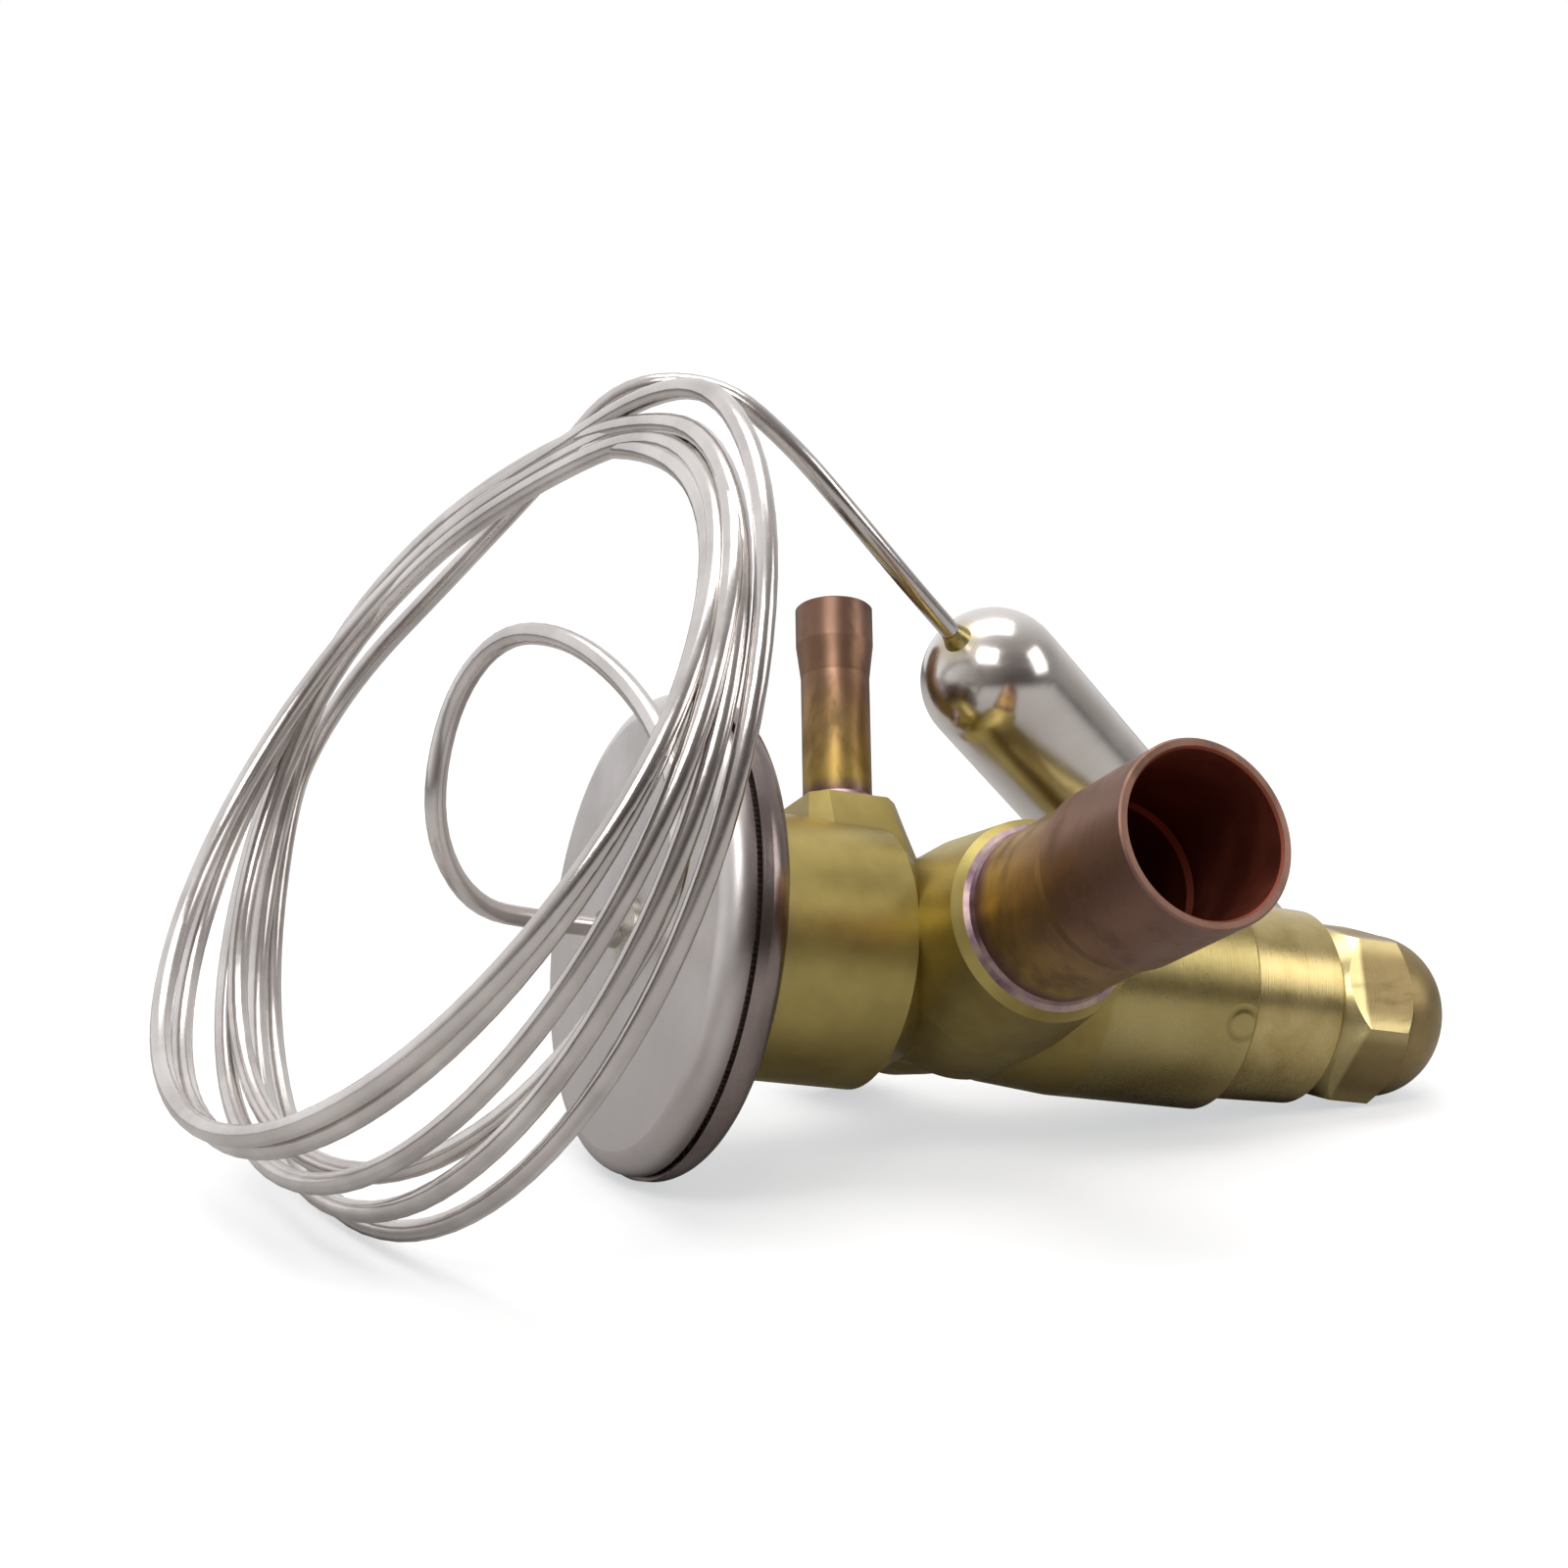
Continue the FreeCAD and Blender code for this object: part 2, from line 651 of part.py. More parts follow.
neck_x = -math.sqrt(BULB_R ** 2 - 1.5 ** 2)
inner_r = BULB_R - BULB_WALL
bulb_end = BULB_LENGTH - BULB_R
bulb = turned([
    (neck_x, 0.5),
    (neck_x, 1.5),
    (-BULB_R * math.sqrt(0.5), BULB_R * math.sqrt(0.5), 0, BULB_R),
    (bulb_end - 1.0, BULB_R),
    (bulb_end, BULB_R - 1.0),
    (bulb_end, inner_r - 0.6),
    (bulb_end - 0.8, inner_r),
    (0, inner_r),
    (-inner_r * math.sqrt(0.5), inner_r * math.sqrt(0.5), -math.sqrt(inner_r ** 2 - 0.25), 0.5),
])
plug = turned([
    (bulb_end - 3.2, 0),
    (bulb_end - 3.2, inner_r),
    (bulb_end - 0.8, inner_r),
    (bulb_end, inner_r - 0.6),
    (bulb_end, 0),
])
bulb_braze = turned([
    (neck_x, 1.5),
    (neck_x, CAPILLARY_D / 2),
    (neck_x - 1.6, CAPILLARY_D / 2),
])

nodes["sensing_bulb"] = along_bulb(bulb)
nodes["bulb_plug"] = along_bulb(plug)
bulb_neck = along_bulb(Part.Vertex(vec(neck_x, 0, 0))).Point
bulb_dome = along_bulb(Part.Vertex(ORIGIN)).Point
bulb_axis = (bulb_dome - bulb_neck).normalize()


def turn_point(centre, r, azimuth_deg, lean_deg, angle_deg):
    """Point, outward direction and axis of one turn of the coil; the angle runs from its top towards -Y."""
    azimuth = math.radians(azimuth_deg)
    lean = math.radians(lean_deg)
    angle = math.radians(angle_deg)
    across = vec(math.cos(azimuth) * math.cos(lean), math.sin(azimuth) * math.cos(lean), math.sin(lean))
    up = vec(-math.cos(azimuth) * math.sin(lean), -math.sin(azimuth) * math.sin(lean), math.cos(lean))
    outward = up * math.cos(angle) + across.cross(up) * math.sin(angle)
    return vec(*centre) + outward * r, outward, across


# Coil: the hank's loose turns lie together at the top and fan out below, from a large turn
# beside the head to a small one that leans away from it. One closed band has their outer shape.
def coil_section(angle_deg):
    near, near_out, near_axis = turn_point(COIL_NEAR_CENTRE, COIL_NEAR_R, COIL_NEAR_AZIMUTH_DEG,
                                           COIL_NEAR_LEAN_DEG, angle_deg)
    far, far_out, far_axis = turn_point(COIL_FAR_CENTRE, COIL_FAR_R, COIL_FAR_AZIMUTH_DEG,
                                        COIL_FAR_LEAN_DEG, angle_deg)
    from_tie = (angle_deg - COIL_TIE_DEG + 180) % 360 - 180
    spread = 1.0
    if abs(from_tie) < COIL_TIE_HALF_DEG:
        gather = math.cos(math.radians(90 * from_tie / COIL_TIE_HALF_DEG)) ** 2
        spread = 1 - (1 - COIL_TIE_SPREAD) * gather
    near = far + (near - far) * spread
    side = (near_axis + far_axis).normalize()
    out = (near_out + far_out).normalize()
    if (near - far).dot(side) < 0:
        near, far = far, near
    outer = out * COIL_OUTSIDE
    inner = out * -COIL_INSIDE
    side = side * COIL_SIDE
    far_half = [far - side + outer, far - side * 2 + outer * 0.2,
                far - side * 2 + inner * 0.4, far - side + inner]
    near_half = [near + side + inner, near + side * 2 + inner * 0.4,
                 near + side * 2 + outer * 0.2, near + side + outer]
    return far_half + near_half


def band(sections):
    """Closed solid of flat facets through a ring of sections with the same number of corners."""
    faces = []
    for here, there in zip(sections, sections[1:] + sections[:1]):
        for a, b, c, d in zip(here, here[1:] + here[:1], there[1:] + there[:1], there):
            faces.append(Part.Face(Part.makePolygon([a, c, b, a])))
            faces.append(Part.Face(Part.makePolygon([a, d, c, a])))
    shell = Part.Shell(faces)
    shell.sewShape()
    return Part.Solid(shell)


nodes["capillary_coil"] = band([coil_section(6 * step) for step in range(60)])


def bent_tube(points, diameter):
    """Tube along straight runs joined by arcs as large as the runs allow."""
    edges = []
    here = points[0]
    radii = []
    for before, corner, after in zip(points, points[1:], points[2:]):
        back = before - corner
        ahead = after - corner
        turn = math.pi - back.getAngle(ahead)
        setback = 0.45 * min(back.Length, ahead.Length)
        radii.append(setback / math.tan(turn / 2))
        start = corner + back.normalize() * setback
        end = corner + ahead.normalize() * setback
        middle = (back + ahead).normalize()
        bulge = radii[-1] / math.cos(turn / 2) - radii[-1]
        edges.append(Part.LineSegment(here, start).toShape())
        edges.append(Part.Arc(start, corner + middle * bulge, end).toShape())
        here = end
    edges.append(Part.LineSegment(here, points[-1]).toShape())
    path = Part.Wire(edges)
    profile = Part.Wire(Part.makeCircle(diameter / 2, points[0], points[1] - points[0]))
    tube = path.makePipeShell([profile], True, False)
    section = math.pi * diameter ** 2 / 4
    print("radii", [round(r, 1) for r in radii], "length", round(path.Length, 1),
          "volume ratio", round(tube.Volume / (section * path.Length), 4))
    return tube


# First stretch of the capillary: out of the collar, round a small loop and into the coil.
collar_nose = lain(vec(COLLAR_NOSE_X, 0, 0))
collar_axis = lain(vec(COLLAR_NOSE_X - 1, 0, 0)) - collar_nose
start_route = [collar_nose, collar_nose + collar_axis * 5.9] + [vec(*p) for p in (
    (-52.3, -3.6, 28.6),
    (-56.9, -6.4, 37.1),
    (-54.7, -5.6, 48.0),
    (-51.6, -12.2, 55.3),
    (-47.8, -20.6, 55.5),
    (-45.1, -29.5, 51.6),
    (-44.6, -37.6, 46.4),
    (-45.9, -43.6, 40.6),
    (-49.9, -46.5, 34.2),
)]

# Last stretch: up from the coil's far side, over its top and down into the bulb.
end_route = [vec(*p) for p in (
    (-59.5, 36.6, 34.7),
    (-55.9, 37.6, 40.8),
    (-51.5, 34.0, 48.0),
    (-46.4, 27.0, 55.3),
    (-41.5, 19.0, 63.1),
    (-37.2, 13.3, 69.6),
    (-32.2, 8.6, 77.1),
    (-23.9, 3.4, 77.1),
    (-18.2, -0.4, 71.3),
    (-12.5, -1.7, 64.6),
)] + [bulb_neck - bulb_axis * 8.0, bulb_neck]

nodes["capillary_start"] = bent_tube(start_route, CAPILLARY_D)
nodes["capillary_end"] = bent_tube(end_route, CAPILLARY_D)
nodes["bulb_braze"] = along_bulb(bulb_braze)

for name, shape in nodes.items():
    shape.translate(vec(-centre.x, -centre.y, 0))
    solid = shape.Solids[0] if len(shape.Solids) == 1 else shape
    print(name, "solids", len(shape.Solids), "valid", shape.isValid(), "volume", round(shape.Volume, 1))
    solid.exportStep("parts/" + name + ".step")
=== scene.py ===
import math

import bmesh
import bpy
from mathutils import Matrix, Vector


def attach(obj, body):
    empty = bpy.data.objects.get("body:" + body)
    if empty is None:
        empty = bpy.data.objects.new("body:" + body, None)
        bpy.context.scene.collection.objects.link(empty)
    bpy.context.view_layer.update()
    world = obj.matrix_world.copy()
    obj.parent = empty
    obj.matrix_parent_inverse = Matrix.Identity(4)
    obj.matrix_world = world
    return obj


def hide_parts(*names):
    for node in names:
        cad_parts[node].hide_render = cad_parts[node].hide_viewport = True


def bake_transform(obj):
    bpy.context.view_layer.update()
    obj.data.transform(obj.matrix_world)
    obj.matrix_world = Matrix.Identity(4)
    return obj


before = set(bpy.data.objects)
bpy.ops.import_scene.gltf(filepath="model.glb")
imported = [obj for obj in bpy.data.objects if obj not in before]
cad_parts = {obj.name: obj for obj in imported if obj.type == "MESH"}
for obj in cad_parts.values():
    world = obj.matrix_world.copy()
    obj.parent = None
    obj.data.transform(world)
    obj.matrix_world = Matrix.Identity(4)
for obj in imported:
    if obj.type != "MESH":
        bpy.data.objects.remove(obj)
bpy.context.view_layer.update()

# Body of the valve: hot-forged brass with the hub under the head, a neck, the barrel and three
# bosses. Its skin is a tarnished olive gold with a fine forged grain, brighter where it was
# turned: on the shoulder under the head and on the end of the barrel. A round punch mark near
# the barrel's end keeps the housing's thread from working loose.
VALVE_ORIGIN = Vector((-0.00906, 0.00876, 0.0179109))
VALVE_X = Vector((0.983247, 0.0, -0.182278))
VALVE_Y = Vector((-0.077874, 0.904146, -0.420067))
VALVE_Z = Vector((0.164806, 0.427225, 0.888999))
STAKE = Vector((0.01795, -0.00311, 0.01208))
STAKE_R = 0.0017
TURNED_END_X = 0.0120
HUB_SHOULDER_X = -0.0246


class Field:
    """A value that changes over a surface. Sums and products of fields add the Math nodes."""

    def __init__(self, finish, socket):
        self.finish = finish
        self.socket = socket

    def math(self, operation, *values):
        return self.finish.node("ShaderNodeMath", {"operation": operation}, values)

    def __add__(self, other):
        return self.math("ADD", self, other)

    def __radd__(self, other):
        return self.math("ADD", other, self)

    def __sub__(self, other):
        return self.math("SUBTRACT", self, other)

    def __rsub__(self, other):
        return self.math("SUBTRACT", other, self)

    def __mul__(self, other):
        return self.math("MULTIPLY", self, other)

    def __rmul__(self, other):
        return self.math("MULTIPLY", other, self)

    def __truediv__(self, other):
        return self.math("DIVIDE", self, other)

    def __pow__(self, other):
        return self.math("POWER", self, other)

    def sine(self):
        return self.math("SINE", self)

    def rise(self, low, high):
        """0 below low, 1 above high, and a smooth step between."""
        return self.finish.node("ShaderNodeMapRange", {"interpolation_type": "SMOOTHSTEP"},
                                {"Value": self, "From Min": low, "From Max": high})

    def hill(self, middle, half_width):
        """1 at the middle, falling smoothly to 0 at half_width to each side."""
        return 1 - self.math("ABSOLUTE", self - middle).rise(0.0, half_width)


class Finish:
    """One material. node() adds any node from its type, its settings and its sockets' values."""

    def __init__(self, name):
        self.material = bpy.data.materials.new(name)
        self.material.use_nodes = True
        self.tree = self.material.node_tree
        self.shader = self.tree.nodes["Principled BSDF"]
        self.place = self.node("ShaderNodeTexCoord", {}, {}, "Object")

    def give(self, socket, value):
        if isinstance(value, Field):
            self.tree.links.new(value.socket, socket)
        elif socket.type == "RGBA":
            socket.default_value = (*value, 1.0)
        else:
            socket.default_value = value

    def node(self, kind, settings, values, output=0):
        made = self.tree.nodes.new(kind)
        for key, value in settings.items():
            if key == "stops":
                ramp = made.color_ramp
                while len(ramp.elements) < len(value):
                    ramp.elements.new(0.5)
                for element, (position, colour) in zip(ramp.elements, value):
                    element.position = position
                    element.color = (*colour, 1.0)
            else:
                setattr(made, key, value)
        named = values.items() if isinstance(values, dict) else enumerate(values)
        for key, value in named:
            self.give(made.inputs[key], value)
        return Field(self, made.outputs[output])

    def noise(self, scale, detail=3.0, rough=0.55, stretch=None):
        place = self.place
        if stretch:
            place = self.node("ShaderNodeVectorMath", {"operation": "MULTIPLY"}, [place, stretch])
        return self.node("ShaderNodeTexNoise", {}, {
            "Vector": place, "Scale": scale, "Detail": detail, "Roughness": rough})

    def lines(self, distance, scale, detail=2.0):
        """Fine marks that follow one distance, such as the rings that a lathe leaves."""
        return self.node("ShaderNodeTexNoise", {"noise_dimensions": "1D"}, {
            "W": distance, "Scale": scale, "Detail": detail, "Roughness": 0.6})

    def along(self, direction, origin=VALVE_ORIGIN):
        """Distance from the origin along a direction."""
        offset = self.node("ShaderNodeVectorMath", {"operation": "SUBTRACT"}, [self.place, origin])
        return self.node("ShaderNodeVectorMath", {"operation": "DOT_PRODUCT"}, [offset, direction], "Value")

    def from_axis(self, first, second, origin=VALVE_ORIGIN):
        """Distance from the line that is square to both directions."""
        a = self.along(first, origin)
        b = self.along(second, origin)
        return (a * a + b * b) ** 0.5

    def from_point(self, point):
        return self.node("ShaderNodeVectorMath", {"operation": "DISTANCE"}, [self.place, point], "Value")

    def mix(self, factor, here, there):
        return self.node("ShaderNodeMix", {"data_type": "RGBA"}, {0: factor, 6: here, 7: there}, 2)

    def darken(self, colour, amount):
        return self.node("ShaderNodeMix", {"data_type": "RGBA", "blend_type": "MULTIPLY"},
                         {0: amount, 6: colour, 7: (0.25, 0.22, 0.2)}, 2)

    def ramp(self, factor, stops):
        return self.node("ShaderNodeValToRGB", {"stops": stops}, [factor], "Color")

    def bump(self, height, depth, strength=1.0, under=None):
        values = {"Height": height, "Distance": depth, "Strength": strength}
        if under:
            values["Normal"] = under
        return self.node("ShaderNodeBump", {}, values, "Normal")

    def painted_crease_shade(self, radius):
        """How closed in a place is: 1 in corners and 0 on open faces. The finishes darken their colour by
        it, a painted shade.
        """
        return 1 - self.node("ShaderNodeAmbientOcclusion", {"samples": 8}, {"Distance": radius}, "AO")

    def put(self, *nodes, **sockets):
        for name, value in sockets.items():
            self.give(self.shader.inputs[name.replace("_", " ").title()], value)
        for name in nodes:
            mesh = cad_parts[name].data
            mesh.materials.clear()
            mesh.materials.append(self.material)


forged = Finish("forged_brass")
barrel = forged.along(VALVE_X)
patches = forged.noise(55.0, 4.0, 0.6)
grain = forged.noise(1500.0, 5.0, 0.7)
pits = forged.noise(520.0, 2.0, 0.5)
turned_end = barrel.rise(TURNED_END_X, TURNED_END_X + 0.0006)
turned_hub = 1 - barrel.rise(HUB_SHOULDER_X, HUB_SHOULDER_X + 0.0010)
stake = forged.from_point(STAKE).hill(STAKE_R, 0.0006)
tarnish = forged.ramp(patches, [
    (0.25, (0.25, 0.175, 0.065)), (0.45, (0.40, 0.31, 0.105)),
    (0.6, (0.50, 0.405, 0.14)), (0.8, (0.60, 0.50, 0.19))])
bright = forged.ramp(forged.noise(90.0), [(0.3, (0.38, 0.30, 0.12)), (0.7, (0.54, 0.45, 0.21))])
skin = forged.mix(turned_end * 0.8 + turned_hub * 0.6, tarnish, bright)
lathe = forged.lines(barrel, 9000.0)
forged_dents = forged.bump(pits * 0.25 - stake * 0.8, 0.00015, 0.5)
forged_grain = forged.bump(grain * (1 - 0.7 * turned_end), 0.00003, 0.4, forged_dents)
forged.put(
    "valve_body",
    # Colour darkened in corners and closed-in places, a painted shade, and along the ring of the punch
    # mark.
    base_color=forged.darken(skin, forged.painted_crease_shade(0.004) * 0.5 + stake * 0.3),
    metallic=1.0,
    roughness=0.40 - 0.12 * turned_end + 0.16 * (patches - 0.5) + 0.10 * (grain - 0.5),
    normal=forged.bump(lathe * turned_end, 0.00002, 0.5, forged_grain))

# Solder stubs: lengths of copper tube swaged to a socket at the mouth and brazed into the
# bosses. The flame has left them brown, with a straw gold and a violet band at the root. A row
# gives the way out, the foot, two directions across, how far out the boss and the mouth are, the
# bore's radius and the soot.
STUBS = (
    ("outlet_stub", -VALVE_Y, VALVE_ORIGIN, VALVE_X, VALVE_Z, 0.0196, 0.0479, 0.0080, (0.175, 0.1, 0.07)),
    ("inlet_stub", VALVE_Y, VALVE_ORIGIN, VALVE_X, VALVE_Z, 0.0155, 0.0300, 0.0048, (0.175, 0.1, 0.07)),
    ("equaliser_stub", VALVE_Z, VALVE_ORIGIN - VALVE_X * 0.0128, VALVE_X, VALVE_Y,
     0.0156, 0.0373, 0.0032, (0.10, 0.07, 0.03)),
)

for node, outward, foot, first, second, boss, mouth, bore, soot in STUBS:
    copper = Finish(node + "_copper")
    out = copper.along(outward, foot)
    radius = copper.from_axis(first, second, foot)
    cloud = copper.noise(110.0, 4.0, 0.6)
    streaks = copper.noise(300.0, 3.0, 0.6, stretch=(1.0, 1.0, 0.35))
    share = (out - boss) / (mouth - boss) + 0.10 * (cloud - 0.5)
    heat = copper.ramp(share, [
        (0.00, (0.30, 0.20, 0.09)), (0.05, (0.26, 0.15, 0.15)), (0.12, (0.56, 0.38, 0.10)),
        (0.34, (0.50, 0.31, 0.12)), (0.58, (0.33, 0.185, 0.12)), (1.0, (0.275, 0.155, 0.12))])
    smoky = copper.mix(0.25 + 0.5 * streaks.rise(0.42, 0.75), heat, soot)
    inside = 1 - radius.rise(bore + 0.00005, bore + 0.0003)
    tube = copper.mix(inside * 0.9, smoky, (0.34, 0.085, 0.05))
    drawn = copper.lines(radius * 3.0 + out * 0.15, 900.0)
    copper.put(
        node,
        # Colour darkened in corners and closed-in places: painted shade.
        base_color=copper.darken(tube, copper.painted_crease_shade(0.003) * 0.5),
        metallic=1.0,
        roughness=0.40 + 0.20 * (cloud - 0.5) + 0.14 * streaks.rise(0.4, 0.8) + 0.15 * inside,
        normal=copper.bump(drawn + 0.6 * copper.noise(700.0), 0.00003, 0.5))

# Silver solder round the foot of each stub: a small fillet drawn into the joint by heat. The
# flame has left it pinkish violet.
solder = Finish("silver_solder")
flow = solder.noise(420.0, 3.0)
solder.put(
    "outlet_braze", "inlet_braze", "equaliser_braze",
    base_color=solder.ramp(flow, [
        (0.3, (0.26, 0.16, 0.19)), (0.5, (0.40, 0.28, 0.29)), (0.7, (0.50, 0.40, 0.27))]),
    metallic=1.0,
    roughness=0.36 + 0.2 * (flow - 0.5),
    normal=solder.bump(flow, 0.00008, 0.6))

# Strainer: a thimble of woven brass wire in the inlet, which keeps dirt out of the orifice. Its
# wires cross, some along the thimble and some round it.
weave = Finish("strainer_weave")
rows = weave.along(VALVE_Y)
turns = weave.node("ShaderNodeMath", {"operation": "ARCTAN2"}, [weave.along(VALVE_X), weave.along(VALVE_Z)])
over = (rows * 22000.0).sine()
under = (turns * 60.0).sine()
wires = over * under
weave.put(
    "inlet_strainer",
    base_color=weave.mix(wires.rise(-0.6, 0.6), (0.10, 0.07, 0.03), (0.62, 0.48, 0.22)),
    metallic=1.0,
    roughness=0.45 - 0.1 * wires,
    normal=weave.bump(wires, 0.00006, 0.8))


# Orifice: a ring of hard steel pressed into the body, and the cone that closes it. Both are
# turned and then ground.
def machined(name, light, dark, roughness, axis_lines=8000.0):
    """Turned or ground metal: faint rings round the valve's axis and slight changes of colour."""
    metal = Finish(name)
    cloud = metal.noise(160.0, 4.0)
    rings = metal.lines(metal.along(VALVE_X) + metal.from_axis(VALVE_Y, VALVE_Z), axis_lines)
    shade = metal.mix(cloud.rise(0.3, 0.7), dark, light)
    metal.put(
        # Colour darkened in corners and closed-in places: painted shade.
        base_color=metal.darken(shade, metal.painted_crease_shade(0.002) * 0.45),
        metallic=1.0,
        roughness=roughness + 0.14 * (cloud - 0.5) + 0.10 * (rings - 0.5),
        normal=metal.bump(rings, 0.00002, 0.5))
    return metal


machined("seat_steel", (0.52, 0.52, 0.54), (0.34, 0.34, 0.36), 0.22).put("orifice_seat", "valve_cone")

# Guide of the push rod: a reamed brass bush inside the body. A black rubber ring in its groove
# seals the rod.
machined("guide_brass", (0.66, 0.54, 0.28), (0.50, 0.38, 0.17), 0.26).put("rod_guide")

rubber = Finish("seal_rubber")
skin_marks = rubber.noise(900.0, 4.0)
rubber.put(
    "rod_seal",
    base_color=rubber.mix(skin_marks, (0.012, 0.012, 0.012), (0.04, 0.04, 0.038)),
    roughness=0.55 + 0.2 * (skin_marks - 0.5),
    normal=rubber.bump(skin_marks, 0.00003, 0.4))

# Pressure pad and spring cup: plain turned steel, phosphated grey. The diaphragm pushes on the
# pad, and the spring on the cup at the other end of the rod.
machined("pad_steel", (0.46, 0.45, 0.43), (0.27, 0.265, 0.26), 0.42).put("pressure_pad", "spring_cup")

# Push rod and adjusting spindle: ground steel. The rod is plain, and the spindle has the screw
# thread cut on it that moves the spring seat.
THREAD_PITCH = 0.00075
THREAD_START_X, THREAD_END_X = 0.0175, 0.0318
machined("rod_steel", (0.60, 0.60, 0.60), (0.42, 0.42, 0.42), 0.2).put("push_rod")

threaded = machined("spindle_steel", (0.58, 0.57, 0.56), (0.38, 0.37, 0.36), 0.3)
shank = threaded.along(VALVE_X)
thread = (shank * (2 * math.pi / THREAD_PITCH)).sine()
thread_begins = shank.rise(THREAD_START_X, THREAD_START_X + 0.0004)
thread_ends = shank.rise(THREAD_END_X, THREAD_END_X + 0.0002)
threaded.put(
    "adjusting_spindle",
    normal=threaded.bump(thread * thread_begins * (1 - thread_ends), 0.00022, 0.9))

# Superheat spring: round steel wire, dark with oil. It is drawn in two halves: one from the end
# at the needle's cup to the middle, the other from the middle to the end at the nut.
wire = Finish("spring_wire")
oil = wire.noise(500.0, 4.0)
wire.put(
    base_color=wire.mix(oil, (0.12, 0.12, 0.13), (0.36, 0.36, 0.37)),
    metallic=1.0,
    roughness=0.30 + 0.2 * (oil - 0.5),
    normal=wire.bump(oil, 0.00003, 0.4))

SPRING_START, SPRING_END = 0.0120, 0.0210
SPRING_R, SPRING_WIRE_R, SPRING_TURNS = 0.0047, 0.0005, 4
WIRE_SIDES, STEPS_A_TURN = 12, 32


def spring_half(name, first_turn, last_turn):
    steps = round((last_turn - first_turn) * STEPS_A_TURN)
    pitch = (SPRING_END - SPRING_START - 2 * SPRING_WIRE_R) / SPRING_TURNS
    shape = bmesh.new()
    rings = []
    for step in range(steps + 1):
        turn = first_turn + step / STEPS_A_TURN
        angle = 2 * math.pi * turn
        out = VALVE_Y * math.sin(angle) - VALVE_Z * math.cos(angle)
        along_spring = SPRING_START + SPRING_WIRE_R + pitch * turn
        centre = VALVE_ORIGIN + VALVE_X * along_spring + out * SPRING_R
        ring = []
        for side in range(WIRE_SIDES):
            round_wire = 2 * math.pi * side / WIRE_SIDES
            to_skin = out * math.cos(round_wire) + VALVE_X * math.sin(round_wire)
            ring.append(shape.verts.new(centre + to_skin * SPRING_WIRE_R))
        rings.append(ring)
    for here, there in zip(rings, rings[1:]):
        for side in range(WIRE_SIDES):
            after = (side + 1) % WIRE_SIDES
            shape.faces.new((here[side], here[after], there[after], there[side])).smooth = True
    shape.faces.new(rings[0])
    shape.faces.new(reversed(rings[-1]))
    bmesh.ops.recalc_face_normals(shape, faces=shape.faces)
    mesh = bpy.data.meshes.new(name)
    shape.to_mesh(mesh)
    shape.free()
    mesh.materials.append(wire.material)
    half = bpy.data.objects.new(name, mesh)
    bpy.context.collection.objects.link(half)
    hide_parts("superheat_spring")
    return half


cup_half = spring_half("spring_cup_half", 0, SPRING_TURNS / 2)
nut_half = spring_half("spring_nut_half", SPRING_TURNS / 2, SPRING_TURNS)
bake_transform(cup_half)
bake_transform(nut_half)

# Spring seat, spindle housing and gland screw: brass turned from bar. The housing screws into
# the barrel, and its outside shows the lathe's rings.
turned = machined("turned_brass", (0.60, 0.48, 0.22), (0.42, 0.32, 0.12), 0.27, 7000.0)
turned.put("spring_seat", "spindle_housing", "gland_screw")

# Packing and gasket: a pressed ring of white packing round the spindle, and a ring of soft fibre
# under the cap.
fibre = Finish("pressed_fibre")
strands = fibre.noise(800.0, 5.0, 0.7, stretch=(1.0, 0.3, 1.0))
fibre.put(
    "spindle_packing", "cap_gasket",
    base_color=fibre.mix(strands, (0.52, 0.49, 0.42), (0.82, 0.80, 0.74)),
    roughness=0.75 + 0.2 * (strands - 0.5),
    normal=fibre.bump(strands, 0.00008, 0.7))

# Seal cap: hexagon brass cap turned with a domed end. Handling and keys have dulled its flats
# and polished its corners. Their brighter colour is partly that wear and partly a painted
# highlight, and the bright colour of the back chamfer is a painted highlight.
CAP_CORNER_R = 0.0091
CAP_CHAMFER_X = 0.0438
cap = Finish("cap_brass")
cap_along = cap.along(VALVE_X)
cap_radius = cap.from_axis(VALVE_Y, VALVE_Z)
cap_cloud = cap.noise(120.0, 4.0, 0.6)
scuffs = cap.noise(900.0, 3.0, 0.6, stretch=(0.25, 1.0, 1.0))
corners = cap_radius.rise(CAP_CORNER_R, CAP_CORNER_R + 0.0008)
chamfer = 1 - cap_along.rise(CAP_CHAMFER_X, CAP_CHAMFER_X + 0.0008)
cap_rings = cap.lines(cap_along + cap_radius, 5200.0)
dull = cap.ramp(cap_cloud, [
    (0.25, (0.21, 0.15, 0.07)), (0.5, (0.31, 0.23, 0.105)), (0.75, (0.40, 0.30, 0.14))])
# Painted highlight, with some real wear on the corners: the corners and the back chamfer are painted a
# bright gold.
worn_and_highlit = cap.mix(corners * 0.4 + chamfer * 0.6, dull, (0.80, 0.68, 0.33))
cap_marks = 0.18 * (cap_cloud - 0.5) + 0.12 * scuffs.rise(0.5, 0.8)
cap.put(
    "seal_cap",
    # Colour darkened in corners and closed-in places: painted shade.
    base_color=cap.darken(worn_and_highlit, cap.painted_crease_shade(0.003) * 0.4),
    metallic=1.0,
    roughness=0.43 + cap_marks - 0.1 * corners - 0.14 * chamfer,
    normal=cap.bump(cap_rings + 0.8 * scuffs, 0.000025, 0.55))

